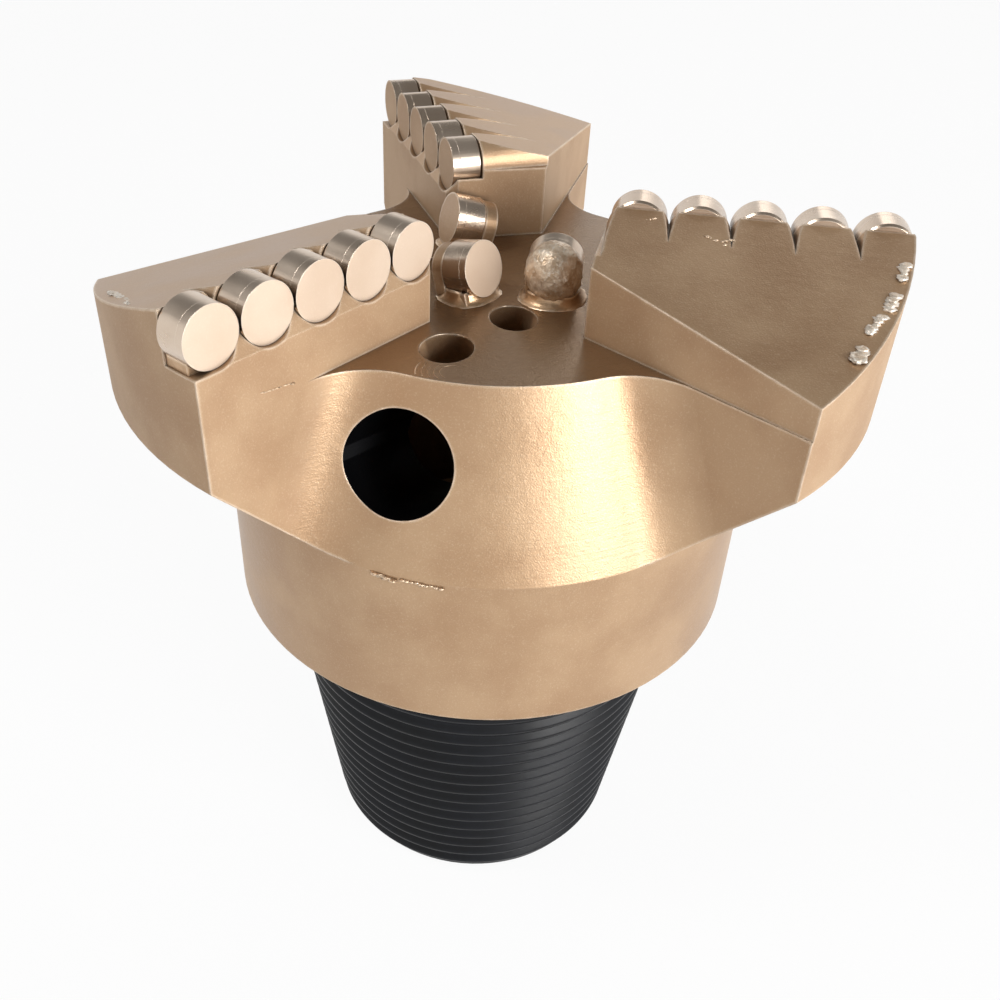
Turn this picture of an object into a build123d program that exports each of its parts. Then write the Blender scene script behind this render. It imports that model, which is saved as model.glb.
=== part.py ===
from build123d import *
import os
from math import cos, radians, sin, sqrt, tan

os.makedirs("parts", exist_ok=True)

# ---------------------------------------------------------------- driving dimensions (mm)
# The bit stands on its pin: origin on the bit axis in the pin end face, crown upwards (+Z).

# threaded pin (4-1/2 REG size, plain cone at the thread root)
PIN_END_CREST_RADIUS = 45.24
PIN_BASE_CREST_RADIUS = 58.74
PIN_LENGTH = 98.6
THREAD_DEPTH = 1.7
PIN_NOSE_CHAMFER = 2.5
PIN_BORE_RADIUS = 25.0

# shank
SHANK_RADIUS = 70.5
SHANK_TOP = 142.5
SHOULDER_CHAMFER = 1.2

# crown
FLOOR_HEIGHT = 185.3
FLOOR_RADIUS = 54.5
GAUGE_RADIUS = 96.0
GAUGE_BOTTOM = 170.5
CROWN_ABOVE = 30.0

# blades, in the frame of one blade: x outwards, y towards the side the cutters face
FIRST_BLADE_AZIMUTH = 231.5
BLADE_SPACING = [0.0, 120.0, 238.4]
LEADING_WALL = 4.1
INNER_END_LEADING = 27.0
INNER_END_TRAILING = 24.8
TRAILING_INNER_Y = -27.3
TRAILING_OUTER_X = 74.6
TRAILING_OUTER_Y = -62.4
TRAILING_SHIFTS = [0.0, 0.0, 5.0]
DECK_FRONT_HEIGHTS = [208.6, 208.6, 210.2]
DECK_FALL_ANGLES = [18.5, 15.5, 13.0]
INNER_EDGE_BEVEL = 2.6

# row cutters
CUTTERS_PER_BLADE = 5
CUTTER_RADIUS = 6.72
CUTTER_LENGTH = 8.0
TABLE_THICKNESS = 2.0
CARBIDE_BEVEL = 0.5
FIRST_CUTTER_X = 33.85
CUTTER_PITCH = 14.1
CUTTER_HEIGHT = 203.6
CUTTER_FACE_Y = 2.9
BRAZE_GAP = 0.08

# shelf in front of the pockets, and the rounded tabs that back the cutters
SHELF_HEIGHT = 201.4
BEVEL_DROP = 4.2
SHELF_LIP = 1.2
TAB_RADIUS = 7.3
TAB_RUN = 22.0

# flutes
FLUTE_BLEND = 17.0
FLUTE_SIDE_STEP = 0.8
FLUTE_START = 4.0

# inner cutters: (x, face y, height, back rake) in the frame of their own blade
INNER_CUTTERS = [(11.7, 5.4, 193.3, 16.0), (15.0, -0.5, 193.3, 16.0), (22.0, 5.6, 193.3, 16.0)]
SEAT_LENGTH = 3.4
SEAT_MARGIN = 0.5

# waterways
CHAMBER_RADIUS = 30.0
CHAMBER_START = PIN_LENGTH
CHAMBER_TOP = 152.0
CHAMBER_ROOF = 167.5
SIDE_PORT_RADIUS = 12.6
SIDE_PORT_AZIMUTH = 19.3
SIDE_PORT_HEIGHT = 166.5
SIDE_PORT_TILT = 20.0
CROWN_PORT_TILT = 30.0
# crown ports: (radius from the axis, degrees ahead of the blade, hole radius)
CROWN_PORTS = [(39.8, 22.9, 6.1), (22.5, 49.8, 5.7)]

# ---------------------------------------------------------------- derived numbers
BLADE_AZIMUTHS = [FIRST_BLADE_AZIMUTH + turn for turn in BLADE_SPACING]
NEXT_BLADE = [BLADE_SPACING[1], BLADE_SPACING[2] - BLADE_SPACING[1], 360.0 - BLADE_SPACING[2]]
POCKET_RADIUS = CUTTER_RADIUS + BRAZE_GAP
POCKET_BACK_Y = CUTTER_FACE_Y - CUTTER_LENGTH
CARBIDE_LENGTH = CUTTER_LENGTH - TABLE_THICKNESS
OUTER_CUTTER_X = FIRST_CUTTER_X + CUTTER_PITCH * (CUTTERS_PER_BLADE - 1)
PIN_END_RADIUS = PIN_END_CREST_RADIUS - THREAD_DEPTH
PIN_BASE_RADIUS = PIN_BASE_CREST_RADIUS - THREAD_DEPTH
APRON_SLOPE = (SHANK_RADIUS - FLOOR_RADIUS) / (FLOOR_HEIGHT - SHANK_TOP)
CROWN_TOP = FLOOR_HEIGHT + CROWN_ABOVE
FAR = 130.0


def blade_axis(azimuth):
    """Location of a blade frame: x outwards along the blade, y towards its leading side."""
    return Location((0, 0, 0), (0, 0, azimuth))


def trailing_y(x, shift):
    """Position of the trailing wall, at a given distance outwards in the blade frame."""
    rise = (TRAILING_OUTER_Y - TRAILING_INNER_Y) / (TRAILING_OUTER_X - INNER_END_TRAILING)
    return TRAILING_INNER_Y + shift + rise * (x - INNER_END_TRAILING)


def turned(azimuth, x, y):
    """A point of the blade frame, in plan, after the blade is turned to its azimuth."""
    c = cos(radians(azimuth))
    s = sin(radians(azimuth))
    return (x * c - y * s, x * s + y * c)


def cutter_plane(azimuth, x, y, height, rake):
    """Plane on a cutter face: normal out of the face, leant back by the rake, x towards the axis."""
    px, py = turned(azimuth, x, y)
    ax, ay = turned(azimuth, 1, 0)
    nx, ny = turned(azimuth, 0, cos(radians(rake)))
    return Plane(origin=(px, py, height), x_dir=(-ax, -ay, 0), z_dir=(nx, ny, sin(radians(rake))))


def port_plane(azimuth, radius, height, tilt):
    """Plane across the mouth of a port, its normal leaning outwards and raised by the tilt."""
    px, py = turned(azimuth, radius, 0)
    ax, ay = turned(azimuth, 0, 1)
    nx, ny = turned(azimuth, cos(radians(tilt)), 0)
    return Plane(origin=(px, py, height), x_dir=(ax, ay, 0), z_dir=(nx, ny, sin(radians(tilt))))


# ---------------------------------------------------------------- flute sections
def flute_section(height, step, shift):
    """One flute in plan: leading wall, hub arc and the next blade's trailing side, blended."""
    hub = SHANK_RADIUS - APRON_SLOPE * (height - SHANK_TOP)
    start = (0, LEADING_WALL)
    inner = turned(step, INNER_END_TRAILING, trailing_y(INNER_END_TRAILING, shift) - FLUTE_SIDE_STEP)
    outer = turned(step, FAR, trailing_y(FAR, shift))
    with BuildSketch(Plane.XY.offset(height)) as sketch:
        with BuildLine():
            Polyline(start, (FAR, LEADING_WALL), (FAR, FAR), outer, inner, start)
        make_face()
        Circle(hub, mode=Mode.SUBTRACT)
        near = [v for v in sketch.vertices() if abs(sqrt(v.X**2 + v.Y**2) - hub) < 0.01]
        fillet(near, FLUTE_BLEND)
    return sketch


# ---------------------------------------------------------------- bit body
def body_profile():
    """Half section of the turned blank: pin, shank, gauge and crown height."""
    with BuildSketch(Plane.XZ) as sketch:
        with BuildLine():
            Polyline(
                (0, 0),
                (PIN_END_RADIUS - PIN_NOSE_CHAMFER, 0),
                (PIN_END_RADIUS, PIN_NOSE_CHAMFER),
                (PIN_BASE_RADIUS, PIN_LENGTH),
                (SHANK_RADIUS - SHOULDER_CHAMFER, PIN_LENGTH),
                (SHANK_RADIUS, PIN_LENGTH + SHOULDER_CHAMFER),
                (SHANK_RADIUS, SHANK_TOP),
                (GAUGE_RADIUS, GAUGE_BOTTOM),
                (GAUGE_RADIUS, CROWN_TOP),
                (0, CROWN_TOP),
                (0, 0),
            )
        make_face()
    return sketch


def blade_footprint():
    """The three blades in plan above the crown floor."""
    with BuildSketch(Plane.XY.offset(FLOOR_HEIGHT)) as sketch:
        for azimuth, shift in zip(BLADE_AZIMUTHS, TRAILING_SHIFTS):
            corners = [
                (INNER_END_LEADING + INNER_EDGE_BEVEL, LEADING_WALL),
                (FAR, LEADING_WALL),
                (FAR, trailing_y(FAR, shift)),
                (INNER_END_TRAILING, trailing_y(INNER_END_TRAILING, shift)),
                (INNER_END_LEADING, LEADING_WALL - INNER_EDGE_BEVEL),
            ]
            ring = [turned(azimuth, x, y) for x, y in corners]
            with BuildLine():
                Polyline(*ring, close=True)
            make_face()
    return sketch


def deck_cut(front_height, fall_angle):
    """Section, across a blade, of everything above the sloping deck and the cutter shelf."""
    fall = tan(radians(fall_angle))
    reach = FAR
    with BuildSketch(Plane.YZ) as sketch:
        with BuildLine():
            Polyline(
                (FAR, SHELF_HEIGHT - BEVEL_DROP),
                (LEADING_WALL, SHELF_HEIGHT - BEVEL_DROP),
                (CUTTER_FACE_Y - SHELF_LIP, SHELF_HEIGHT),
                (POCKET_BACK_Y, SHELF_HEIGHT),
                (POCKET_BACK_Y, front_height),
                (POCKET_BACK_Y - reach, front_height - fall * reach),
                (POCKET_BACK_Y - reach, CROWN_TOP + 1),
                (FAR, CROWN_TOP + 1),
                (FAR, SHELF_HEIGHT - BEVEL_DROP),
            )
        make_face()
    return sketch


def blade_wedge(azimuth):
    """Sector around one blade that the deck cut is allowed to touch."""
    back = azimuth - 62.0
    front = azimuth + 20.0
    with BuildSketch(Plane.XY.offset(FLOOR_HEIGHT)) as sketch:
        with BuildLine():
            Polyline(
                (0, 0),
                (2 * FAR * cos(radians(back)), 2 * FAR * sin(radians(back))),
                (2 * FAR * cos(radians(front)), 2 * FAR * sin(radians(front))),
                (0, 0),
            )
        make_face()
    return sketch


# one tool per blade that levels its deck and shelf
deck_tools = []
for azimuth, front_height, fall_angle in zip(BLADE_AZIMUTHS, DECK_FRONT_HEIGHTS, DECK_FALL_ANGLES):
    with BuildPart() as deck_tool:
        add(blade_axis(azimuth) * deck_cut(front_height, fall_angle).sketch)
        extrude(amount=2 * FAR, dir=(cos(radians(azimuth)), sin(radians(azimuth)), 0))
        add(blade_wedge(azimuth).sketch)
        extrude(amount=CROWN_ABOVE + 5, mode=Mode.INTERSECT)
    deck_tools.append(deck_tool.part)

# the open space between the blades above the floor
footprint = blade_footprint().sketch
with BuildPart() as crown_space:
    with BuildSketch(Plane.XY.offset(FLOOR_HEIGHT)):
        Circle(FAR)
        add(footprint, mode=Mode.SUBTRACT)
    extrude(amount=CROWN_ABOVE + 5)

# the flutes, each lofted from the shank to the crown floor
flutes = []
for step, shift in zip(NEXT_BLADE, TRAILING_SHIFTS[1:] + TRAILING_SHIFTS[:1]):
    flute_low = flute_section(SHANK_TOP - FLUTE_START, step, shift).sketch
    flute_high = flute_section(FLOOR_HEIGHT + 0.5, step, shift).sketch
    with BuildPart() as flute:
        add(flute_low)
        add(flute_high)
        loft(ruled=True)
    flutes.append(flute.part)

with BuildPart() as bit_body:
    add(body_profile().sketch)
    revolve(axis=Axis.Z)
    # flutes and crown
    for azimuth, flute_tool in zip(BLADE_AZIMUTHS, flutes):
        add(blade_axis(azimuth) * flute_tool, mode=Mode.SUBTRACT)
    add(crown_space.part, mode=Mode.SUBTRACT)
    for tool in deck_tools:
        add(tool, mode=Mode.SUBTRACT)
    # seats of the inner cutters, short stubs standing behind each of them
    for azimuth, (x, y, height, rake) in zip(BLADE_AZIMUTHS, INNER_CUTTERS):
        face = cutter_plane(azimuth, x, y, height, rake)
        with BuildSketch(face.offset(-CUTTER_LENGTH)):
            Circle(CUTTER_RADIUS - SEAT_MARGIN)
            with Locations((0, -CUTTER_RADIUS)):
                Rectangle(2 * (CUTTER_RADIUS - SEAT_MARGIN), 2 * CUTTER_RADIUS)
        extrude(amount=-SEAT_LENGTH)
        with BuildSketch(face.offset(-CUTTER_LENGTH)):
            with Locations((0, -CUTTER_RADIUS - 1.0)):
                Rectangle(2 * (CUTTER_RADIUS - SEAT_MARGIN), CUTTER_RADIUS)
        extrude(amount=CUTTER_LENGTH - TABLE_THICKNESS)
    # rounded tabs behind the row cutters, with a groove between each two
    for azimuth in BLADE_AZIMUTHS:
        front = cutter_plane(azimuth, FIRST_CUTTER_X, POCKET_BACK_Y + 1.0, CUTTER_HEIGHT, 0)
        row = CUTTER_PITCH * (CUTTERS_PER_BLADE - 1)
        with BuildSketch(front):
            with Locations((-row / 2, CUTTER_PITCH / 2)):
                Rectangle(row + 2 * CUTTER_PITCH, CUTTER_PITCH)
            for i in range(CUTTERS_PER_BLADE):
                with Locations((-CUTTER_PITCH * i, 0)):
                    Circle(TAB_RADIUS, mode=Mode.SUBTRACT)
        extrude(amount=-TAB_RUN, mode=Mode.SUBTRACT)
    # pockets of the row cutters
    for azimuth in BLADE_AZIMUTHS:
        for i in range(CUTTERS_PER_BLADE):
            x = FIRST_CUTTER_X + CUTTER_PITCH * i
            back = cutter_plane(azimuth, x, POCKET_BACK_Y, CUTTER_HEIGHT, 0)
            with BuildSketch(back):
                Circle(POCKET_RADIUS)
            extrude(amount=2 * CUTTER_LENGTH, mode=Mode.SUBTRACT)
        # the outermost pocket is open towards the gauge
        back = cutter_plane(azimuth, OUTER_CUTTER_X, POCKET_BACK_Y, CUTTER_HEIGHT, 0)
        with BuildSketch(back):
            Rectangle(2 * CUTTER_PITCH, 2 * POCKET_RADIUS, align=(Align.MAX, Align.CENTER))
        extrude(amount=2 * CUTTER_LENGTH, mode=Mode.SUBTRACT)
    # pockets of the inner cutters
    for azimuth, (x, y, height, rake) in zip(BLADE_AZIMUTHS, INNER_CUTTERS):
        with BuildSketch(cutter_plane(azimuth, x, y, height, rake).offset(-CUTTER_LENGTH)):
            Circle(POCKET_RADIUS)
        extrude(amount=CUTTER_LENGTH + CUTTER_RADIUS, mode=Mode.SUBTRACT)
    # water bore and chamber
    with BuildSketch(Plane.XZ):
        with BuildLine():
            Polyline(
                (0, 0),
                (PIN_BORE_RADIUS, 0),
                (PIN_BORE_RADIUS, CHAMBER_START),
                (CHAMBER_RADIUS, CHAMBER_START + CHAMBER_RADIUS - PIN_BORE_RADIUS),
                (CHAMBER_RADIUS, CHAMBER_TOP),
                (CHAMBER_RADIUS - (CHAMBER_ROOF - CHAMBER_TOP), CHAMBER_ROOF),
                (0, CHAMBER_ROOF),
                (0, 0),
            )
        make_face()
    revolve(axis=Axis.Z, mode=Mode.SUBTRACT)
    # ports: a large one through each apron and two small ones in each crown floor
    for azimuth in BLADE_AZIMUTHS:
        middle = SHANK_RADIUS - APRON_SLOPE * (SIDE_PORT_HEIGHT - SHANK_TOP)
        mouth = port_plane(azimuth + SIDE_PORT_AZIMUTH, middle, SIDE_PORT_HEIGHT, SIDE_PORT_TILT)
        with BuildSketch(mouth.offset(FLUTE_BLEND)):
            Circle(SIDE_PORT_RADIUS)
        inward = (middle - CHAMBER_RADIUS / 2) / cos(radians(SIDE_PORT_TILT))
        extrude(amount=-inward - FLUTE_BLEND, mode=Mode.SUBTRACT)
        for radius, ahead, hole in CROWN_PORTS:
            mouth = port_plane(azimuth + ahead, radius, FLOOR_HEIGHT, 90 - CROWN_PORT_TILT)
            with BuildSketch(mouth.offset(hole)):
                Circle(hole)
            inward = (FLOOR_HEIGHT - CHAMBER_TOP) / cos(radians(CROWN_PORT_TILT))
            extrude(amount=-inward - hole, mode=Mode.SUBTRACT)
bit_body.part.label = "bit_body"
export_step(bit_body.part, "parts/bit_body.step")


# ---------------------------------------------------------------- cutters
def make_carbide(face, name):
    """Carbide stud behind the diamond table, its back edge bevelled."""
    with BuildPart() as stud:
        with BuildSketch(face.offset(-CUTTER_LENGTH)):
            Circle(CUTTER_RADIUS)
        extrude(amount=CARBIDE_LENGTH)
        back = stud.faces().filter_by(GeomType.PLANE).sort_by_distance(face.offset(-CUTTER_LENGTH).origin)[0]
        chamfer(back.edges(), CARBIDE_BEVEL)
    stud.part.label = name
    export_step(stud.part, "parts/" + name + ".step")
    return stud.part


def make_table(face, name):
    """Diamond table, the flat disc that does the cutting."""
    with BuildPart() as table:
        with BuildSketch(face.offset(-TABLE_THICKNESS)):
            Circle(CUTTER_RADIUS)
        extrude(amount=TABLE_THICKNESS)
    table.part.label = name
    export_step(table.part, "parts/" + name + ".step")
    return table.part


for blade, azimuth in enumerate(BLADE_AZIMUTHS, start=1):
    for i in range(CUTTERS_PER_BLADE):
        row_face = cutter_plane(azimuth, FIRST_CUTTER_X + CUTTER_PITCH * i, CUTTER_FACE_Y, CUTTER_HEIGHT, 0)
        make_carbide(row_face, "blade_%d_cutter_%d_carbide" % (blade, i + 1))
        make_table(row_face, "blade_%d_cutter_%d_diamond" % (blade, i + 1))
    x, y, height, rake = INNER_CUTTERS[blade - 1]
    inner_face = cutter_plane(azimuth, x, y, height, rake)
    make_carbide(inner_face, "inner_cutter_%d_carbide" % blade)
    make_table(inner_face, "inner_cutter_%d_diamond" % blade)
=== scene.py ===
"""Dresses the three-blade drill bit: thread, braze, paint, studio and camera."""

import logging
import math
from dataclasses import dataclass, field
from enum import Enum
from typing import Sequence

import bmesh
import bpy
from mathutils import Matrix, Vector, noise


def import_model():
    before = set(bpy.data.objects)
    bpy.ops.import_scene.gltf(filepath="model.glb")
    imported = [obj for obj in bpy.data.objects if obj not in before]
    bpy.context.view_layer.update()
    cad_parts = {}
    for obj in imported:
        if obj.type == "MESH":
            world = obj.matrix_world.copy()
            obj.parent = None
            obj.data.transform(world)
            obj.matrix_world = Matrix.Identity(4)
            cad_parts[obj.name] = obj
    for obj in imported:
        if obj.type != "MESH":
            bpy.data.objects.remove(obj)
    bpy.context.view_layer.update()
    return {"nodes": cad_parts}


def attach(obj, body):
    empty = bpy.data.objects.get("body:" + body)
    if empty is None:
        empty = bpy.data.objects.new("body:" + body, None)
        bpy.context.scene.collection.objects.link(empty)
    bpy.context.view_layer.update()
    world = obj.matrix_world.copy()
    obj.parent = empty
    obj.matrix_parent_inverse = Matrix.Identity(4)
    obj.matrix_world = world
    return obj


MM = 0.001
NOISE_SEED = 1
Colour = tuple[float, float, float]
Point = tuple[float, float, float]

log = logging.getLogger("drill_bit")


class Slot(Enum):
    """A material slot name, which this script does not use."""

    BODY = "body_paint"


class Effect(Enum):
    """Shader groups that more than one finish uses."""

    # rubbed edges with painted highlight
    EDGE_WEAR_AND_HIGHLIGHT = "edge_wear_and_highlight"
    SPRAY_GRAIN = "spray_grain"
    BRUSH_LINES = "brush_lines"
    MOTTLE = "mottle"
    # painted shade in tight creases
    CREASE_SHADE = "crease_shade"
    ROUNDED_EDGES = "rounded_edges"


# ------------------------------------------------------------------ shader building


class NodeBench:
    """Adds and joins nodes in one node tree."""

    def __init__(self, tree: bpy.types.NodeTree) -> None:
        """Keeps the tree.

        Args:
            tree: the node tree of a material or a group.
        """
        self.tree = tree

    def node(self, kind: str, **settings: object) -> bpy.types.Node:
        """Adds one node.

        Args:
            kind: the node's type, such as ShaderNodeBump.
            settings: attributes set on the node.

        Returns:
            The new node.
        """
        made = self.tree.nodes.new(kind)
        for name, value in settings.items():
            setattr(made, name, value)
        return made

    def feed(self, socket: bpy.types.NodeSocket, source: object) -> None:
        """Sets a socket to a constant, or links another socket to it.

        Args:
            socket: the input that is fed.
            source: an output socket, a number or a tuple.
        """
        if isinstance(source, bpy.types.NodeSocket):
            self.tree.links.new(source, socket)
        else:
            socket.default_value = source

    def sum(self, operation: str, *values: object, clamp: bool = False) -> bpy.types.NodeSocket:
        """Adds a Math node.

        Args:
            operation: the node's operation, such as MULTIPLY.
            values: numbers or sockets for its inputs.
            clamp: keeps the result between 0 and 1.

        Returns:
            The node's value.
        """
        made = self.node("ShaderNodeMath", operation=operation, use_clamp=clamp)
        for socket, value in zip(made.inputs, values):
            self.feed(socket, value)
        return made.outputs[0]

    def blend(self, share: object, first: object, second: object) -> bpy.types.NodeSocket:
        """Mixes two colours.

        Args:
            share: how much of the second colour shows, 0 to 1.
            first: a colour or socket.
            second: a colour or socket.

        Returns:
            The mixed colour.
        """
        made = self.node("ShaderNodeMix", data_type="RGBA")
        for index, value in ((0, share), (6, first), (7, second)):
            if isinstance(value, tuple):
                value = (*value, 1.0)
            self.feed(made.inputs[index], value)
        return made.outputs[2]

    def ramp(self, value: object, low: float, high: float) -> bpy.types.NodeSocket:
        """Smooth step from 0 at low to 1 at high.

        Args:
            value: the number or socket that is read.
            low: where the step starts.
            high: where the step ends.

        Returns:
            The stepped value.
        """
        made = self.node("ShaderNodeMapRange", interpolation_type="SMOOTHSTEP", clamp=True)
        self.feed(made.inputs["Value"], value)
        made.inputs["From Min"].default_value = low
        made.inputs["From Max"].default_value = high
        return made.outputs["Result"]


class EffectLibrary:
    """Builds each shared shader group once and places it in materials."""

    def __init__(self) -> None:
        """Builds all groups."""
        self.groups: dict[Effect, bpy.types.NodeTree] = {
            Effect.EDGE_WEAR_AND_HIGHLIGHT: self._edge_wear_and_highlight(),
            Effect.SPRAY_GRAIN: self._spray_grain(),
            Effect.BRUSH_LINES: self._brush_lines(),
            Effect.MOTTLE: self._mottle(),
            Effect.CREASE_SHADE: self._crease_shade(),
            Effect.ROUNDED_EDGES: self._rounded_edges(),
        }

    @staticmethod
    def _group(effect: Effect, inputs: dict[str, float], outputs: Sequence[str]) -> tuple:
        """Starts a group with float inputs and outputs.

        Args:
            effect: names the group.
            inputs: input names and defaults.
            outputs: output names.

        Returns:
            The tree, its bench, its input node and its output node.
        """
        tree = bpy.data.node_groups.new(effect.value, "ShaderNodeTree")
        for name, value in inputs.items():
            made = tree.interface.new_socket(name=name, in_out="INPUT", socket_type="NodeSocketFloat")
            made.default_value = value
        for name in outputs:
            kind = "NodeSocketVector" if name == "Normal" else "NodeSocketFloat"
            tree.interface.new_socket(name=name, in_out="OUTPUT", socket_type=kind)
        bench = NodeBench(tree)
        return tree, bench, bench.node("NodeGroupInput"), bench.node("NodeGroupOutput")

    def _edge_wear_and_highlight(self) -> bpy.types.NodeTree:
        """Mask of rubbed edges, which also carry a painted highlight, broken up by noise. Returns the group."""
        tree, bench, inside, out = self._group(
            Effect.EDGE_WEAR_AND_HIGHLIGHT, {"Width": 0.0006, "Break Up": 0.3, "Amount": 1.0}, ("Mask",)
        )
        rounded = bench.node("ShaderNodeBevel", samples=4)
        bench.feed(rounded.inputs["Radius"], inside.outputs["Width"])
        flat = bench.node("ShaderNodeNewGeometry")
        likeness = bench.node("ShaderNodeVectorMath", operation="DOT_PRODUCT")
        bench.feed(likeness.inputs[0], rounded.outputs["Normal"])
        bench.feed(likeness.inputs[1], flat.outputs["True Normal"])
        turned = bench.sum("SUBTRACT", 1.0, likeness.outputs["Value"])
        edge = bench.ramp(turned, 0.02, 0.16)
        place = bench.node("ShaderNodeTexCoord")
        patches = bench.node("ShaderNodeTexNoise")
        bench.feed(patches.inputs["Vector"], place.outputs["Object"])
        patches.inputs["Scale"].default_value = 420.0
        patches.inputs["Detail"].default_value = 4.0
        gaps = bench.sum("MULTIPLY", bench.ramp(patches.outputs["Fac"], 0.38, 0.62), inside.outputs["Break Up"])
        kept = bench.sum("SUBTRACT", edge, gaps, clamp=True)
        bench.feed(out.inputs["Mask"], bench.sum("MULTIPLY", kept, inside.outputs["Amount"], clamp=True))
        return tree

    def _spray_grain(self) -> bpy.types.NodeTree:
        """Fine grain of sprayed metallic paint. Returns the group."""
        tree, bench, inside, out = self._group(Effect.SPRAY_GRAIN, {"Scale": 2600.0}, ("Height", "Sparkle"))
        place = bench.node("ShaderNodeTexCoord")
        fine = bench.node("ShaderNodeTexNoise")
        bench.feed(fine.inputs["Vector"], place.outputs["Object"])
        bench.feed(fine.inputs["Scale"], inside.outputs["Scale"])
        fine.inputs["Detail"].default_value = 3.0
        coarse = bench.node("ShaderNodeTexNoise")
        bench.feed(coarse.inputs["Vector"], place.outputs["Object"])
        bench.feed(coarse.inputs["Scale"], bench.sum("MULTIPLY", inside.outputs["Scale"], 0.22))
        coarse.inputs["Detail"].default_value = 2.0
        both = bench.sum("ADD", fine.outputs["Fac"], coarse.outputs["Fac"])
        bench.feed(out.inputs["Height"], bench.sum("MULTIPLY", both, 0.5))
        bench.feed(out.inputs["Sparkle"], bench.ramp(fine.outputs["Fac"], 0.52, 0.72))
        return tree

    def _brush_lines(self) -> bpy.types.NodeTree:
        """Fine lines that run round the axis of the bit. Returns the group."""
        tree, bench, inside, out = self._group(
            Effect.BRUSH_LINES, {"Along": 30.0, "Across": 1400.0}, ("Height",)
        )
        place = bench.node("ShaderNodeTexCoord")
        parts = bench.node("ShaderNodeSeparateXYZ")
        bench.feed(parts.inputs[0], place.outputs["Object"])
        joined = bench.node("ShaderNodeCombineXYZ")
        bench.feed(joined.inputs[0], bench.sum("MULTIPLY", parts.outputs[0], inside.outputs["Along"]))
        bench.feed(joined.inputs[1], bench.sum("MULTIPLY", parts.outputs[1], inside.outputs["Along"]))
        bench.feed(joined.inputs[2], bench.sum("MULTIPLY", parts.outputs[2], inside.outputs["Across"]))
        lines = bench.node("ShaderNodeTexNoise")
        bench.feed(lines.inputs["Vector"], joined.outputs[0])
        lines.inputs["Scale"].default_value = 1.0
        lines.inputs["Detail"].default_value = 3.0
        bench.feed(out.inputs["Height"], lines.outputs["Fac"])
        return tree

    def _mottle(self) -> bpy.types.NodeTree:
        """Broad uneven patches, as paint dries. Returns the group."""
        tree, bench, inside, out = self._group(Effect.MOTTLE, {"Scale": 45.0, "Detail": 5.0}, ("Mask",))
        place = bench.node("ShaderNodeTexCoord")
        cloud = bench.node("ShaderNodeTexNoise")
        bench.feed(cloud.inputs["Vector"], place.outputs["Object"])
        bench.feed(cloud.inputs["Scale"], inside.outputs["Scale"])
        bench.feed(cloud.inputs["Detail"], inside.outputs["Detail"])
        bench.feed(out.inputs["Mask"], bench.ramp(cloud.outputs["Fac"], 0.35, 0.65))
        return tree

    def _crease_shade(self) -> bpy.types.NodeTree:
        """Mask of tight corners for painted shade, darkest where the surface closes in. Returns the group."""
        tree, bench, inside, out = self._group(Effect.CREASE_SHADE, {"Reach": 0.0022, "Amount": 0.9}, ("Mask",))
        closed = bench.node("ShaderNodeAmbientOcclusion", samples=6)
        bench.feed(closed.inputs["Distance"], inside.outputs["Reach"])
        dark = bench.sum("SUBTRACT", 1.0, bench.ramp(closed.outputs["AO"], 0.25, 0.85))
        bench.feed(out.inputs["Mask"], bench.sum("MULTIPLY", dark, inside.outputs["Amount"], clamp=True))
        return tree

    def _rounded_edges(self) -> bpy.types.NodeTree:
        """Normal that turns over a small radius at each edge. Returns the group."""
        tree, bench, inside, out = self._group(Effect.ROUNDED_EDGES, {"Width": 0.0005}, ("Normal",))
        rounded = bench.node("ShaderNodeBevel", samples=6)
        bench.feed(rounded.inputs["Radius"], inside.outputs["Width"])
        bench.feed(out.inputs["Normal"], rounded.outputs["Normal"])
        return tree

    def place(self, bench: NodeBench, effect: Effect, **values: float) -> bpy.types.Node:
        """Puts a group into a material.

        Args:
            bench: the material's bench.
            effect: which group.
            values: input values, with underscores for spaces.

        Returns:
            The group node.
        """
        made = bench.node("ShaderNodeGroup", node_tree=self.groups[effect])
        for name, value in values.items():
            made.inputs[name.replace("_", " ")].default_value = value
        return made


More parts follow.
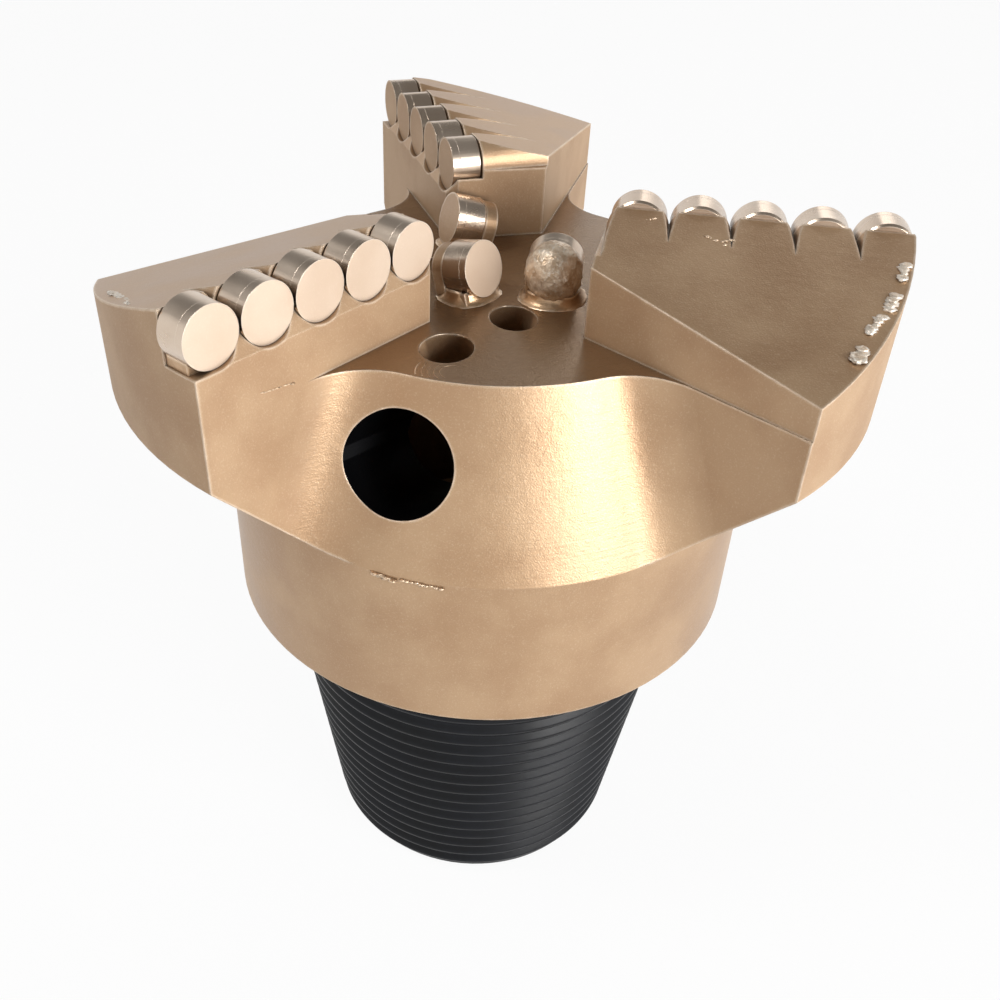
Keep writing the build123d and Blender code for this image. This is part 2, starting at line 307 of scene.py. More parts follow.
@dataclass(frozen=True)
class PaintFinish:
    """Metallic paint: its colours, gloss, grain, rubbed edges with painted highlight, and painted shade in creases.
    """

    name: str
    colour: Colour
    pale: Colour
    # pale edge colour: rubbed paint and a painted edge highlight
    worn_and_highlight: Colour
    metallic: float = 0.58
    roughness: float = 0.38
    roughness_spread: float = 0.08
    grain_scale: float = 2600.0
    grain_depth: float = 0.00012
    brush_depth: float = 0.00004
    brush_across: float = 1400.0
    wear_and_highlight_width: float = 0.0012
    wear_and_highlight_amount: float = 1.0
    cloud_scale: float = 45.0
    sparkle: float = 0.14
    # colour, reach and strength of the painted shade in tight creases
    painted_shade: Colour = (0.05, 0.028, 0.016)
    painted_shade_reach: float = 0.0022
    painted_shade_amount: float = 0.75
    rounding: float = 0.0005
    specular: float = 0.5

    def build(self, effects: EffectLibrary) -> bpy.types.Material:
        """Builds the material.

        Args:
            effects: the shared shader groups.

        Returns:
            The material.
        """
        material = bpy.data.materials.new(self.name)
        material.use_nodes = True
        bench = NodeBench(material.node_tree)
        shader = next(n for n in material.node_tree.nodes if n.type == "BSDF_PRINCIPLED")
        cloud = effects.place(bench, Effect.MOTTLE, Scale=self.cloud_scale)
        grain = effects.place(bench, Effect.SPRAY_GRAIN, Scale=self.grain_scale)
        lines = effects.place(bench, Effect.BRUSH_LINES, Across=self.brush_across)
        wear_and_highlight = effects.place(bench, Effect.EDGE_WEAR_AND_HIGHLIGHT, Width=self.wear_and_highlight_width, Amount=self.wear_and_highlight_amount)
        shade = bench.blend(cloud.outputs["Mask"], self.colour, self.pale)
        flakes = bench.sum("MULTIPLY", grain.outputs["Sparkle"], self.sparkle)
        shade = bench.blend(flakes, shade, self.worn_and_highlight)
        # pale edges: partly rubbed paint, partly painted highlight where light catches the rounded edges
        shade = bench.blend(wear_and_highlight.outputs["Mask"], shade, self.worn_and_highlight)
        rough = bench.sum(
            "MULTIPLY_ADD", cloud.outputs["Mask"], self.roughness_spread, self.roughness - self.roughness_spread / 2
        )
        painted_shade = effects.place(bench, Effect.CREASE_SHADE, Reach=self.painted_shade_reach, Amount=self.painted_shade_amount)
        # painted shade: tight creases darken towards this colour
        shade = bench.blend(painted_shade.outputs["Mask"], shade, self.painted_shade)
        shade, rough, metal = self.zones(bench, shade, rough)
        bench.feed(shader.inputs["Metallic"], metal)
        shader.inputs["Specular IOR Level"].default_value = self.specular
        bench.feed(shader.inputs["Base Color"], shade)
        bench.feed(shader.inputs["Roughness"], rough)
        first = bench.node("ShaderNodeBump")
        first.inputs["Strength"].default_value = 1.0
        first.inputs["Distance"].default_value = self.grain_depth
        bench.feed(first.inputs["Height"], grain.outputs["Height"])
        rounded = effects.place(bench, Effect.ROUNDED_EDGES, Width=self.rounding)
        bench.feed(first.inputs["Normal"], rounded.outputs["Normal"])
        second = bench.node("ShaderNodeBump")
        second.inputs["Strength"].default_value = 1.0
        second.inputs["Distance"].default_value = self.brush_depth
        bench.feed(second.inputs["Height"], lines.outputs["Height"])
        bench.feed(second.inputs["Normal"], first.outputs["Normal"])
        bench.feed(shader.inputs["Normal"], second.outputs["Normal"])
        return material

    def zones(self, bench: NodeBench, shade: object, rough: object) -> tuple[object, object, object]:
        """Leaves the finish the same all over the piece. Returns its colour, roughness and metal share."""
        return shade, rough, self.metallic


@dataclass(frozen=True)
class BodyFinish(PaintFinish):
    """Body paint that turns black on the threaded pin and glossier on the crown floor, with painted shade darkening
    that floor.
    """

    black: Colour = (0.004, 0.004, 0.005)
    shoulder_height: float = 0.0987
    floor_height: float = 0.1853
    floor_roughness: float = 0.24
    # painted shade: the recessed crown floor darker and browner than the paint
    floor_painted_shade: Colour = (0.20, 0.12, 0.06)
    wall_height: float = 0.147
    wall_roughness: float = 0.58
    wall_metallic: float = 0.25
    port_azimuths: tuple[float, ...] = (250.8, 370.8, 489.2)
    port_height: float = 0.1665
    port_reach: float = 0.0615
    port_tilt: float = 20.0
    port_radius: float = 0.0126

    def zones(self, bench: NodeBench, shade: object, rough: object) -> tuple[object, object, object]:
        """Adds the black pin, the glossy floor with its painted shade, and the matt blade walls.

        Args:
            bench: the material's bench.
            shade: the paint's colour so far.
            rough: the paint's roughness so far.

        Returns:
            The colour, the roughness and the metal share with all zones.
        """
        place = bench.node("ShaderNodeTexCoord")
        parts = bench.node("ShaderNodeSeparateXYZ")
        bench.feed(parts.inputs[0], place.outputs["Object"])
        height = parts.outputs[2]
        near = bench.sum("ABSOLUTE", bench.sum("SUBTRACT", height, self.floor_height))
        facing = bench.node("ShaderNodeNewGeometry")
        tilt = bench.node("ShaderNodeSeparateXYZ")
        bench.feed(tilt.inputs[0], facing.outputs["True Normal"])
        level = bench.ramp(tilt.outputs[2], 0.97, 0.99)
        close = bench.sum("SUBTRACT", 1.0, bench.ramp(near, 0.0002, 0.0012), clamp=True)
        on_floor = bench.sum("MULTIPLY", close, level)
        # painted shade on the crown floor between the blades
        shade = bench.blend(bench.sum("MULTIPLY", on_floor, 0.75), shade, self.floor_painted_shade)
        gap = bench.sum("SUBTRACT", self.floor_roughness, rough)
        rough = bench.sum("ADD", rough, bench.sum("MULTIPLY", gap, on_floor))
        upright = bench.sum("SUBTRACT", 1.0, bench.ramp(bench.sum("ABSOLUTE", tilt.outputs[2]), 0.08, 0.16))
        wall = bench.sum("MULTIPLY", upright, bench.sum("GREATER_THAN", height, self.wall_height))
        gap = bench.sum("SUBTRACT", self.wall_roughness, rough)
        rough = bench.sum("ADD", rough, bench.sum("MULTIPLY", gap, wall))
        shade = bench.blend(self.inside_ports(bench, place.outputs["Object"]), shade, self.black)
        above = bench.ramp(height, self.shoulder_height - 0.0001, self.shoulder_height + 0.0001)
        shade = bench.blend(above, self.black, shade)
        metal = bench.sum("MULTIPLY_ADD", wall, self.wall_metallic - self.metallic, self.metallic)
        return shade, rough, metal


    def inside_ports(self, bench: NodeBench, place: bpy.types.NodeSocket) -> bpy.types.NodeSocket:
        """Mask of the walls of the three side ports, which are coloured black.

        Args:
            bench: the material's bench.
            place: the point on the surface, in metres.

        Returns:
            1 inside a port, 0 elsewhere.
        """
        mask: object = 0.0
        for azimuth in self.port_azimuths:
            a, t = math.radians(azimuth), math.radians(self.port_tilt)
            axis = (math.cos(a) * math.cos(t), math.sin(a) * math.cos(t), math.sin(t))
            mouth = (self.port_reach * math.cos(a), self.port_reach * math.sin(a), self.port_height)
            away = bench.node("ShaderNodeVectorMath", operation="SUBTRACT")
            bench.feed(away.inputs[0], place)
            away.inputs[1].default_value = mouth
            across = bench.node("ShaderNodeVectorMath", operation="CROSS_PRODUCT")
            bench.feed(across.inputs[0], away.outputs[0])
            across.inputs[1].default_value = axis
            length = bench.node("ShaderNodeVectorMath", operation="LENGTH")
            bench.feed(length.inputs[0], across.outputs[0])
            along = bench.node("ShaderNodeVectorMath", operation="DOT_PRODUCT")
            bench.feed(along.inputs[0], away.outputs[0])
            along.inputs[1].default_value = axis
            within = bench.sum("LESS_THAN", length.outputs["Value"], self.port_radius + 0.00006)
            ahead = bench.sum("GREATER_THAN", along.outputs["Value"], -0.05)
            mask = bench.sum("MAXIMUM", mask, bench.sum("MULTIPLY", within, ahead))
        return mask


class Finishes:
    """Every finish of the bit, built once."""

    def __init__(self, effects: EffectLibrary) -> None:
        """Builds the materials.

        Args:
            effects: the shared shader groups.
        """
        gold = (0.44, 0.275, 0.155)
        pale = (0.52, 0.345, 0.205)
        # pale edge colour: rubbed paint and a painted edge highlight
        worn_and_highlight = (0.90, 0.76, 0.60)
        self.body = BodyFinish("body_bronze_paint", gold, pale, worn_and_highlight).build(effects)
        self.thread = PaintFinish(
            "thread_black_coat",
            (0.0025, 0.0027, 0.0035),
            (0.004, 0.0045, 0.0065),
            (0.03, 0.035, 0.045),
            metallic=0.0,
            roughness=0.36,
            specular=0.22,
            # near-black painted shade in the thread's creases
            painted_shade=(0.001, 0.001, 0.001),
            grain_depth=0.00003,
            brush_depth=0.00002,
            wear_and_highlight_amount=0.35,
            sparkle=0.05,
        ).build(effects)
        self.carbide = PaintFinish(
            "carbide_bronze_wash",
            (0.60, 0.47, 0.36),
            (0.74, 0.61, 0.49),
            (0.90, 0.80, 0.68),
            metallic=0.95,
            roughness=0.27,
            rounding=0.0002,
            wear_and_highlight_amount=0.4,
            grain_depth=0.00002,
            brush_depth=0.00006,
            brush_across=900.0,
            wear_and_highlight_width=0.0003,
        ).build(effects)
        self.diamond = PaintFinish(
            "diamond_face_paint",
            (0.72, 0.55, 0.41),
            (0.78, 0.62, 0.48),
            (0.95, 0.84, 0.72),
            metallic=0.15,
            roughness=0.45,
            grain_depth=0.00002,
            brush_depth=0.0,
            wear_and_highlight_width=0.0004,
            sparkle=0.1,
        ).build(effects)
        self.braze = PaintFinish(
            "braze_bronze_paint",
            (0.47, 0.30, 0.17),
            (0.60, 0.41, 0.25),
            (0.86, 0.68, 0.50),
            metallic=0.85,
            roughness=0.34,
            grain_depth=0.00010,
            brush_depth=0.0,
            cloud_scale=300.0,
        ).build(effects)
        # rough braze crust, its pale colours and heavy sparkle partly painted highlight that lifts the shaded dome
        self.lit_crust = PaintFinish(
            "braze_rough_crust_lit",
            (0.56, 0.40, 0.26),
            (0.82, 0.67, 0.51),
            (0.95, 0.88, 0.78),
            metallic=0.45,
            roughness=0.36,
            grain_scale=1300.0,
            grain_depth=0.00045,
            brush_depth=0.0,
            cloud_scale=500.0,
            sparkle=0.7,
            painted_shade_amount=0.25,
        ).build(effects)


# ------------------------------------------------------------------ geometry


def add_piece(name: str, verts: Sequence[Point], faces: Sequence[Sequence[int]]) -> bpy.types.Object:
    """Makes a mesh piece that rides on the bit.

    Args:
        name: the piece's name.
        verts: corners in metres, in the row frame.
        faces: rings of corner numbers.

    Returns:
        The new object.
    """
    mesh = bpy.data.meshes.new(name)
    mesh.from_pydata([tuple(v) for v in verts], [], [tuple(f) for f in faces])
    work = bmesh.new()
    work.from_mesh(mesh)
    bmesh.ops.recalc_face_normals(work, faces=work.faces)
    work.to_mesh(mesh)
    work.free()
    mesh.polygons.foreach_set("use_smooth", [True] * len(mesh.polygons))
    made = bpy.data.objects.new(name, mesh)
    bpy.context.scene.collection.objects.link(made)
    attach(made, "root")
    return made


def dress(piece: bpy.types.Object, finish: bpy.types.Material) -> None:
    """Gives a piece one finish.

    Args:
        piece: the object.
        finish: its material.
    """
    piece.data.materials.clear()
    piece.data.materials.append(finish)


@dataclass
class Blade:
    """One blade's own axes: x outwards, y towards its leading side, z up, in millimetres."""

    azimuth: float

    def point(self, x: float, y: float, z: float) -> Vector:
        """Turns a point of the blade into the row frame.

        Args:
            x: distance outwards, in millimetres.
            y: distance towards the leading side, in millimetres.
            z: height, in millimetres.

        Returns:
            The point, in metres.
        """
        turn = math.radians(self.azimuth)
        c, s = math.cos(turn), math.sin(turn)
        return Vector((x * c - y * s, x * s + y * c, z)) * MM


@dataclass
class ThreadedPin:
    """Tapered thread on the pin, one turned helix with a run-out at each end."""

    end_radius: float = 43.54
    base_radius: float = 57.04
    length: float = 98.6
    depth: float = 1.7
    pitch: float = 5.08
    steps: int = 144
    start: float = 1.0
    nose: float = 2.5
    run_out: tuple[float, float] = (5.0, 6.0)
    plain_ends: tuple[float, float] = (2.0, 1.5)
    skin: float = 0.04
    profile: tuple[tuple[float, float], ...] = (
        (0.0, 0.0),
        (0.16, 0.0),
        (0.22, 0.06),
        (0.46, 0.94),
        (0.52, 1.0),
        (0.62, 1.0),
        (0.68, 0.94),
        (0.94, 0.06),
    )

    def radius(self, height: float) -> float:
        """Gives the root radius of the thread.

        Args:
            height: height above the pin's end, in millimetres.

        Returns:
            The radius, in millimetres.
        """
        share = min(1.0, max(0.0, (height - self.nose) / (self.length - self.nose)))
        nose = min(0.0, height - self.nose)
        return self.end_radius + (self.base_radius - self.end_radius) * share + nose

    def fade(self, height: float) -> float:
        """Gives the share of the full thread depth, which runs out at both ends.

        Args:
            height: height above the pin's end, in millimetres.

        Returns:
            The share, from 0 to 1.
        """
        low = min(1.0, max(0.0, (height - self.plain_ends[0]) / self.run_out[0]))
        high = min(1.0, max(0.0, (self.length - self.plain_ends[1] - height) / self.run_out[1]))
        return low * low * (3 - 2 * low) * high * high * (3 - 2 * high)

    def build(self, finish: bpy.types.Material) -> bpy.types.Object:
        """Builds the thread sleeve.

        Args:
            finish: the black coat.

        Returns:
            The thread piece.
        """
        turns = int(self.length / self.pitch) + 2
        rows: list[list[Vector]] = []
        for turn in range(-1, turns):
            for along, lift in self.profile:
                row = []
                for step in range(self.steps + 1):
                    angle = 2 * math.pi * step / self.steps
                    height = (turn + along + step / self.steps) * self.pitch
                    clipped = min(self.length - 0.02, max(self.start, height))
                    reach = self.radius(clipped) + self.skin + self.depth * lift * self.fade(clipped)
                    row.append(Vector((reach * math.cos(angle), reach * math.sin(angle), clipped)) * MM)
                rows.append(row)
        width = self.steps + 1
        verts = [v for row in rows for v in row]
        faces = []
        for r in range(len(rows) - 1):
            for s in range(self.steps):
                a, b = r * width + s, r * width + s + 1
                corners = (a, b, b + width, a + width)
                tall = max(verts[i].z for i in corners) - min(verts[i].z for i in corners)
                if tall > 1e-7:
                    faces.append(corners)
        piece = add_piece("pin_thread", verts, faces)
        work = bmesh.new()
        work.from_mesh(piece.data)
        bmesh.ops.remove_doubles(work, verts=work.verts, dist=2e-6)
        bmesh.ops.dissolve_degenerate(work, edges=work.edges, dist=1e-7)
        loose = [v for v in work.verts if not v.link_faces]
        bmesh.ops.delete(work, geom=loose, context="VERTS")
        bmesh.ops.recalc_face_normals(work, faces=work.faces)
        work.to_mesh(piece.data)
        work.free()
        piece.data.polygons.foreach_set("use_smooth", [True] * len(piece.data.polygons))
        dress(piece, finish)
        return piece


@dataclass
class Lump:
    """One rough blob of braze: its centre, its half sizes and how uneven it is, in millimetres."""

    centre: Vector
    half: Point
    rough: float = 0.12
    bumps: float = 2.2
    seed: float = 0.0


@dataclass
class BrazeWork:
    """Braze domes, fillets and spatter that fix and surround the cutters."""

    blades: Sequence[Blade]
    detail: int = 4
    pieces: list[bpy.types.Object] = field(default_factory=list)

    def blobs(self, name: str, lumps: Sequence[Lump], finish: bpy.types.Material) -> bpy.types.Object:
        """Builds several blobs as one piece.

        Args:
            name: the piece's name.
            lumps: the blobs.
            finish: the braze paint.

        Returns:
            The piece.
        """
        work = bmesh.new()
        for lump in lumps:
            small = max(lump.half) < 1.6
            made = bmesh.ops.create_icosphere(work, subdivisions=2 if small else self.detail, radius=1.0)
            for vert in made["verts"]:
                out = vert.co.normalized()
                uneven = noise.noise(out * lump.bumps + Vector((lump.seed, 3.1, 7.7)))
                uneven += 0.5 * noise.noise(out * lump.bumps * 2.3 + Vector((lump.seed, 9.2, 1.3)))
                size = 1.0 + lump.rough * uneven
                vert.co = lump.centre + Vector(tuple(o * h * size * MM for o, h in zip(out, lump.half)))
        mesh = bpy.data.meshes.new(name)
        work.to_mesh(mesh)
        work.free()
        mesh.polygons.foreach_set("use_smooth", [True] * len(mesh.polygons))
        piece = bpy.data.objects.new(name, mesh)
        bpy.context.scene.collection.objects.link(piece)
        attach(piece, "root")
        dress(piece, finish)
        self.pieces.append(piece)
        return piece

    def bead(self, start: Vector, end: Vector, size: float, count: int, seed: float) -> list[Lump]:
        """Row of small blobs between two points.

        Args:
            start: first centre, in metres.
            end: last centre, in metres.
            size: half size, in millimetres.
            count: number of blobs.
            seed: shifts the unevenness.

        Returns:
            The blobs.
        """
        row = []
        for i in range(count):
            share = i / max(1, count - 1)
            wander = noise.noise_vector(Vector((seed, share * 5.0, 2.0))) * size * 0.5 * MM
            grown = size * (1.0 + 0.45 * noise.noise(Vector((seed, share * 9.0, 6.0))))
            centre = start.lerp(end, share) + wander
            spread = 1.2 + 0.5 * noise.noise(Vector((seed, share * 13.0, 4.0)))
            row.append(Lump(centre, (grown * spread, grown * 1.1, grown * 0.36), 0.55, 1.5, seed + i))
        return row

    def fillet(
        self,
        name: str,
        blade: Blade,
        centre: Point,
        half: tuple[float, float],
        width: float,
        height: float,
        finish: bpy.types.Material,
    ) -> None:
        """Runs a hollow fillet of braze round the foot of an inner cutter.

        Args:
            name: the piece's name.
            blade: the blade whose axes the foot follows.
            centre: middle of the foot on the blade, in millimetres.
            half: half sizes of the foot, in millimetres.
            width: how far the fillet spreads, in millimetres.
            height: how far it climbs, in millimetres.
            finish: the braze paint.
        """
        around, rows = 72, 9
        verts: list[Vector] = []
        for row in range(rows + 1):
            turn = math.pi / 2 * row / rows
            out = width * (1.0 - math.sin(turn))
            rise = height * (1.0 - math.cos(turn))
            for step in range(around):
                angle = 2 * math.pi * step / around
                c, s = math.cos(angle), math.sin(angle)
                uneven = 1.0 + 0.28 * noise.noise(Vector((c * 1.7, s * 1.7, centre[0])))
                reach = out * uneven
                ripple = 0.10 * noise.noise(Vector((c * 6.0, s * 6.0, row * 0.7))) * (row > 0)
                x = (half[0] + reach) * math.copysign(abs(c) ** 0.8, c)
                y = (half[1] + reach) * math.copysign(abs(s) ** 0.8, s)
                verts.append(blade.point(centre[0] + x, centre[1] + y, centre[2] + rise * uneven + ripple))
        faces: list[tuple[int, ...]] = []
        for row in range(rows):
            for step in range(around):
                following = (step + 1) % around
                a, b = row * around, (row + 1) * around
                faces.append((a + step, a + following, b + following, b + step))
        faces.append(tuple(range(around - 1, -1, -1)))
        faces.append(tuple(rows * around + s for s in range(around)))
        piece = add_piece(name, verts, faces)
        dress(piece, finish)
        self.pieces.append(piece)

    def pocket_fill(self, name: str, blade: Blade, finish: bpy.types.Material) -> None:
        """Fills the open corner under the outermost cutter of a blade.

        Args:
            name: the piece's name.
            blade: the blade it belongs to.
            finish: the braze paint.
        """
        centre_x, centre_z, radius, low = 90.25, 203.6, 6.74, 196.7
        xs = [centre_x - 1.0 + 6.2 * i / 12 for i in range(13)]
        ring = [(x, centre_z - math.sqrt(radius**2 - (x - centre_x) ** 2) + 0.15) for x in xs]
        ring += [(xs[-1], low), (xs[0], low)]
        verts = [blade.point(x, y, z) for y in (-5.0, 1.5) for x, z in ring]
        size = len(ring)
        faces = [tuple(range(size)), tuple(range(2 * size - 1, size - 1, -1))]
        faces += [(i, (i + 1) % size, size + (i + 1) % size, size + i) for i in range(size)]
        piece = add_piece(name, verts, faces)
        piece.data.polygons.foreach_set("use_smooth", [False] * len(piece.data.polygons))
        dress(piece, finish)
        self.pieces.append(piece)

    def build(self, finish: bpy.types.Material, lit_crust: bpy.types.Material) -> None:
        """Builds all braze pieces.

        Args:
            finish: the smooth braze paint.
            lit_crust: the rough braze paint, paler with painted highlight.
        """
        first, second, third = self.blades
        self.blobs(
            "braze_dome",
            [Lump(second.point(15.3, -9.0, 192.4), (7.0, 6.6, 7.6), 0.06, 5.5, 1.0)],
            lit_crust,
        )
        edge: list[Lump] = []
        for start, end, size, count, seed in (
            ((93.0, -15.5, 205.7), (91.4, -21.0, 204.2), 1.1, 8, 1.0),
            ((90.0, -26.5, 202.7), (88.2, -31.0, 201.4), 1.2, 8, 11.0),
            ((86.8, -33.0, 200.8), (83.8, -38.5, 199.3), 1.0, 9, 23.0),
            ((82.2, -43.5, 197.9), (80.8, -47.5, 196.8), 1.2, 7, 37.0),
        ):
            edge += self.bead(second.point(*start), second.point(*end), size, count, seed)
        self.blobs("blade_2_edge_braze", edge, lit_crust)
        corner = self.bead(first.point(84.6, -39.0, 197.4), first.point(88.0, -28.5, 200.7), 0.7, 9, 51.0)
        corner += self.bead(first.point(88.4, -26.5, 201.3), first.point(92.6, -19.5, 203.8), 0.5, 6, 63.0)
        self.blobs("blade_1_corner_braze", corner, lit_crust)
        tabs: list[Lump] = []
        for start, end, size, count, seed in (
            ((49.6, -12.6, 206.4), (53.6, -14.8, 205.8), 0.55, 5, 71.0),
            ((53.0, -14.0, 206.1), (55.6, -13.0, 206.3), 0.5, 4, 79.0),
            ((35.6, -8.6, 207.5), (37.6, -8.0, 207.7), 0.45, 4, 85.0),
        ):
            tabs += self.bead(second.point(*start), second.point(*end), size, count, seed)
        self.blobs("blade_2_tab_braze", tabs, finish)
        skirt: list[Lump] = []
        for low, high, size, count, seed in ((249.0, 252.6, 0.8, 7, 91.0), (254.5, 262.0, 0.55, 9, 97.0)):
            start = Blade(low).point(70.7, 0.0, 142.2)
            end = Blade(high).point(70.7, 0.0, 141.6)
            skirt += self.bead(start, end, size, count, seed)
        self.blobs("apron_edge_lumps", skirt, finish)
        smear = self.bead(first.point(80.5, 3.9, 187.9), first.point(72.5, 3.9, 186.8), 0.5, 9, 105.0)
        self.blobs("blade_1_wall_smear", smear, finish)
        for name, blade, place, half in (
            ("inner_cutter_1_fillet", first, (11.7, 1.2), (6.5, 4.9)),
            ("inner_cutter_2_fillet", second, (15.2, -6.8), (6.7, 6.9)),
            ("inner_cutter_3_fillet", third, (22.0, 1.4), (6.5, 4.9)),
        ):
            self.fillet(name, blade, (place[0], place[1], 185.2), half, 2.3, 2.8, finish)
        for number, blade in enumerate(self.blades, start=1):
            self.pocket_fill(f"blade_{number}_outer_pocket_braze", blade, finish)


@dataclass
class ToolMarks:
    """Arcs that a cutter left on the crown floor beside the front port, in millimetres."""

    centre: tuple[float, float] = (-9.0, -49.2)
    floor: float = 185.3
    floor_reach: float = 53.6
    arcs: tuple[tuple[float, float, float, float], ...] = (
        (8.1, 150.0, 205.0, 0.16),
        (6.7, 146.0, 222.0, 0.09),
        (5.4, 136.0, 232.0, 0.08),
        (4.1, 122.0, 240.0, 0.08),
        (2.8, 60.0, 240.0, 0.07),
    )

    def build(self, finish: bpy.types.Material) -> bpy.types.Object:
        """Builds the arcs as one piece.

        Args:
            finish: the braze paint, which is as bright as a fresh cut.

        Returns:
            The piece.
        """
        verts: list[Vector] = []
        faces: list[tuple[int, ...]] = []
        for radius, low, high, thick in self.arcs:
            steps, sides, first, rows = 48, 6, len(verts), 0
            for step in range(steps + 1):
                turn = math.radians(low + (high - low) * step / steps)
                x = self.centre[0] + radius * math.cos(turn)
                y = self.centre[1] + radius * math.sin(turn)
                if math.hypot(x, y) > self.floor_reach:
                    continue
                thin = thick * min(1.0, 0.3 + 3.0 * min(step, steps - step) / steps)
                for side in range(sides):
                    lean = 2 * math.pi * side / sides
                    out = thin * math.cos(lean)
                    corner = (x + out * math.cos(turn), y + out * math.sin(turn), self.floor + thin * math.sin(lean))
                    verts.append(Vector(corner) * MM)
                rows += 1
            for row in range(rows - 1):
                for side in range(sides):
                    a, b = first + row * sides + side, first + row * sides + (side + 1) % sides
                    faces.append((a, b, b + sides, a + sides))
            faces.append(tuple(first + side for side in range(sides)))
            faces.append(tuple(first + (rows - 1) * sides + side for side in range(sides)))
        piece = add_piece("floor_tool_marks", verts, faces)
        dress(piece, finish)
        return piece


# ------------------------------------------------------------------ studio


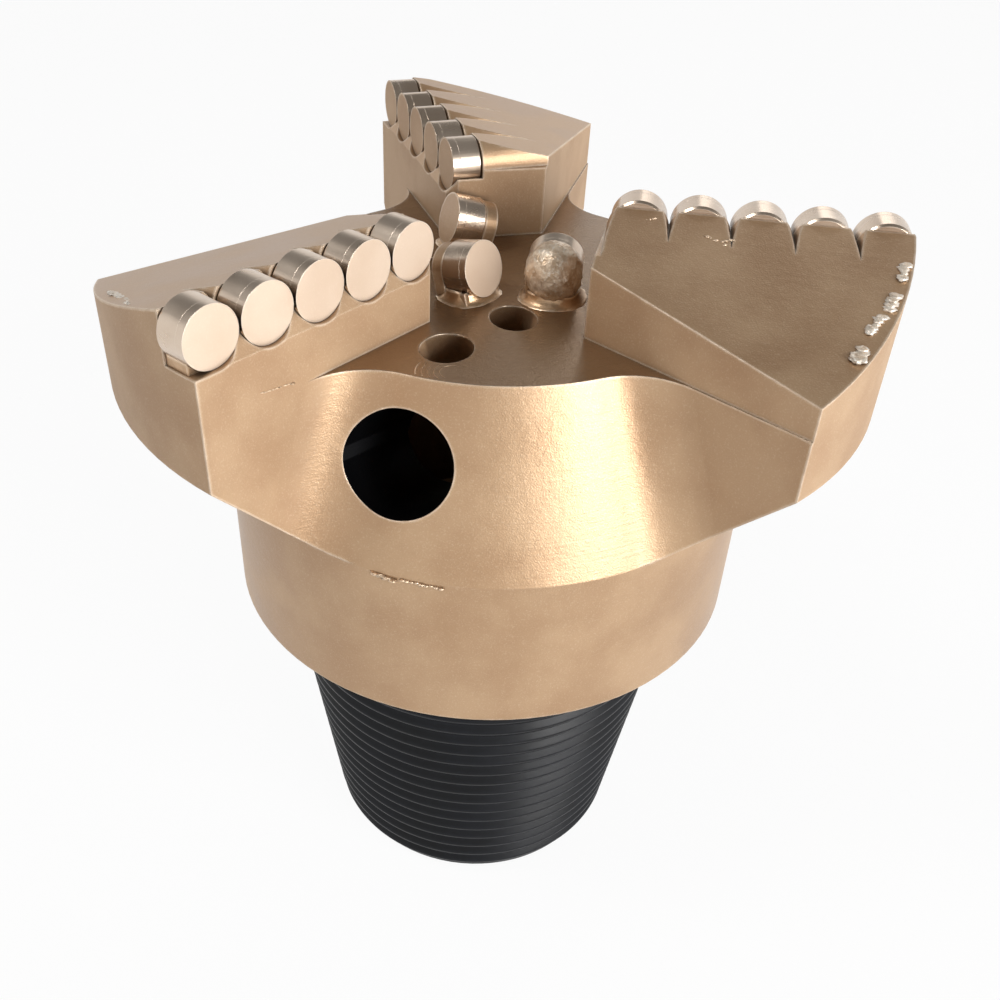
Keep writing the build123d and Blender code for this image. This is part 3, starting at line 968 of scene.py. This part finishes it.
@dataclass
class Studio:
    """Pale floor, soft boxes and the camera."""

    floor_size: float = 6.0
    wall_height: float = 1.7
    wall_sides: int = 96
    sweep: tuple[tuple[float, float], ...] = ((0.3, 0.0), (0.06, 0.08), (0.0, 0.32))
    floor_colour: Colour = (0.92, 0.92, 0.92)
    floor_white: float = 0.94
    bore_reach: float = 0.034
    world_colour: Colour = (1.0, 1.0, 1.0)
    world_strength: float = 0.18
    look_at: Point = (-3.606, 0.0, 113.327)
    elevation: float = 36.350276
    roll: float = 2.282981
    distance: float = 311.084
    lens: float = 38.165
    shift_x: float = 0.02789
    shift_y: float = 0.0065
    boxes: tuple[tuple[str, Point, float, float], ...] = (
        ("softbox_front_right", (1.05, -1.0, 0.50), 0.9, 24.0),
        ("softbox_left", (-0.6, -0.25, 1.1), 0.3, 4.0),
        ("softbox_back", (0.5, 1.3, 1.0), 0.6, 1.8),
    )

    def floor(self) -> None:
        """Lays the floor and stands the low backdrop round it."""
        around, edge = self.wall_sides, self.floor_size / 2
        sweep = [(edge - inset, height) for inset, height in self.sweep] + [(edge, self.wall_height)]
        verts: list[Point] = [(0.0, 0.0, 0.0)]
        for reach, height in sweep:
            for step in range(around):
                turn = 2 * math.pi * step / around
                verts.append((reach * math.cos(turn), reach * math.sin(turn), height))
        faces: list[tuple[int, ...]] = []
        for step in range(around):
            following = (step + 1) % around
            faces.append((0, 1 + step, 1 + following))
            for row in range(len(sweep) - 1):
                a, b = 1 + row * around, 1 + (row + 1) * around
                faces.append((a + step, b + step, b + following, a + following))
        mesh = bpy.data.meshes.new("studio_floor")
        mesh.from_pydata(verts, [], faces)
        floor = bpy.data.objects.new("studio_floor", mesh)
        bpy.context.scene.collection.objects.link(floor)
        material = bpy.data.materials.new("floor_paper")
        material.use_nodes = True
        shader = next(n for n in material.node_tree.nodes if n.type == "BSDF_PRINCIPLED")
        shader.inputs["Base Color"].default_value = (*self.floor_colour, 1.0)
        shader.inputs["Roughness"].default_value = 0.9
        shader.inputs["Specular IOR Level"].default_value = 0.0
        bench = NodeBench(material.node_tree)
        path = bench.node("ShaderNodeLightPath")
        seen = bench.sum("MAXIMUM", path.outputs["Is Camera Ray"], path.outputs["Is Glossy Ray"])
        seen = bench.sum("MAXIMUM", seen, path.outputs["Is Transmission Ray"])
        ground = bench.node("ShaderNodeNewGeometry")
        reach = bench.node("ShaderNodeVectorMath", operation="LENGTH")
        bench.feed(reach.inputs[0], ground.outputs["Position"])
        seen = bench.sum("MULTIPLY", seen, bench.sum("GREATER_THAN", reach.outputs["Value"], self.bore_reach))
        white = bench.node("ShaderNodeEmission")
        white.inputs["Strength"].default_value = 1.0
        both = bench.node("ShaderNodeMixShader")
        bench.feed(both.inputs[0], bench.sum("MULTIPLY", seen, self.floor_white))
        bench.feed(both.inputs[1], shader.outputs[0])
        bench.feed(both.inputs[2], white.outputs[0])
        out = next(n for n in material.node_tree.nodes if n.type == "OUTPUT_MATERIAL")
        bench.feed(out.inputs["Surface"], both.outputs[0])
        dress(floor, material)

    def world(self) -> None:
        """Sets the even light from all round."""
        world = bpy.data.worlds.new("studio_world")
        world.use_nodes = True
        bpy.context.scene.world = world
        back = next(n for n in world.node_tree.nodes if n.type == "BACKGROUND")
        back.inputs["Color"].default_value = (*self.world_colour, 1.0)
        back.inputs["Strength"].default_value = self.world_strength

    def lamps(self) -> None:
        """Hangs the soft boxes, each aimed at the middle of the bit."""
        aim = Vector((0.0, 0.0, 0.12))
        for name, place, size, power in self.boxes:
            data = bpy.data.lights.new(name, "AREA")
            data.shape = "SQUARE"
            data.size = size
            data.energy = power
            lamp = bpy.data.objects.new(name, data)
            lamp.location = place
            lamp.rotation_euler = (aim - Vector(place)).to_track_quat("-Z", "Y").to_euler()
            bpy.context.scene.collection.objects.link(lamp)

    def camera(self) -> None:
        """Places the camera."""
        data = bpy.data.cameras.new("camera")
        data.sensor_width = 36.0
        data.lens = self.lens
        data.shift_x = self.shift_x
        data.shift_y = self.shift_y
        data.clip_start = 0.01
        camera = bpy.data.objects.new("camera", data)
        e, r = math.radians(self.elevation), math.radians(self.roll)
        back = Vector((0.0, -math.cos(e), math.sin(e)))
        right = Vector((1.0, 0.0, 0.0))
        up = Vector((0.0, math.sin(e), math.cos(e)))
        across = right * math.cos(r) + up * math.sin(r)
        raised = up * math.cos(r) - right * math.sin(r)
        place = (Vector(self.look_at) + back * self.distance) * MM
        camera.matrix_world = Matrix(
            (
                (across.x, raised.x, back.x, place.x),
                (across.y, raised.y, back.y, place.y),
                (across.z, raised.z, back.z, place.z),
                (0.0, 0.0, 0.0, 1.0),
            )
        )
        bpy.context.scene.collection.objects.link(camera)
        bpy.context.scene.camera = camera

    def build(self) -> None:
        """Builds the whole studio."""
        bpy.context.scene.view_settings.view_transform = "Standard"
        self.floor()
        self.world()
        self.lamps()
        self.camera()


@dataclass
class DrillBit:
    """The whole bit: body, cutters, thread and braze."""

    nodes: dict[str, bpy.types.Object]
    blade_azimuths: tuple[float, float, float] = (231.5, 351.5, 469.9)

    def cutters(self, finishes: Finishes) -> None:
        """Gives every cutter its two finishes.

        Args:
            finishes: the bit's materials.
        """
        for name, node in self.nodes.items():
            if name.endswith("_carbide"):
                dress(node, finishes.carbide)
            elif name.endswith("_diamond"):
                # blade 3's faces and inner cutter 3's face take the darker body paint as painted shade, since they
                # turn away from the light; the other faces keep the pale diamond paint
                faces_in_painted_shade = name.startswith("blade_3") or name == "inner_cutter_3_diamond"
                dress(node, finishes.body if faces_in_painted_shade else finishes.diamond)
                node.data.materials.append(finishes.carbide)
                widest = max(node.data.polygons, key=lambda p: p.area).normal.copy()
                for polygon in node.data.polygons:
                    polygon.material_index = 0 if abs(polygon.normal.dot(widest)) > 0.99 else 1

    def build(self, finishes: Finishes) -> None:
        """Dresses the nodes and adds the thread and braze.

        Args:
            finishes: the bit's materials.
        """
        dress(self.nodes["bit_body"], finishes.body)
        log.info("bit_body dressed")
        self.cutters(finishes)
        log.info("cutters dressed")
        ThreadedPin().build(finishes.thread)
        log.info("pin_thread built")
        ToolMarks().build(finishes.braze)
        log.info("floor_tool_marks built")
        blades = [Blade(a) for a in self.blade_azimuths]
        braze = BrazeWork(blades)
        braze.build(finishes.braze, finishes.lit_crust)
        log.info("braze built: %d pieces", len(braze.pieces))


def main() -> None:
    """Builds the scene in order."""
    logging.basicConfig(level=logging.INFO)
    # without a fixed seed the wander of the braze beads follows the clock
    noise.seed_set(NOISE_SEED)
    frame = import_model()
    finishes = Finishes(EffectLibrary())
    DrillBit(frame["nodes"]).build(finishes)
    Studio().build()
    bpy.context.view_layer.update()
    log.info("sizes written")


if __name__ == "__main__":
    main()
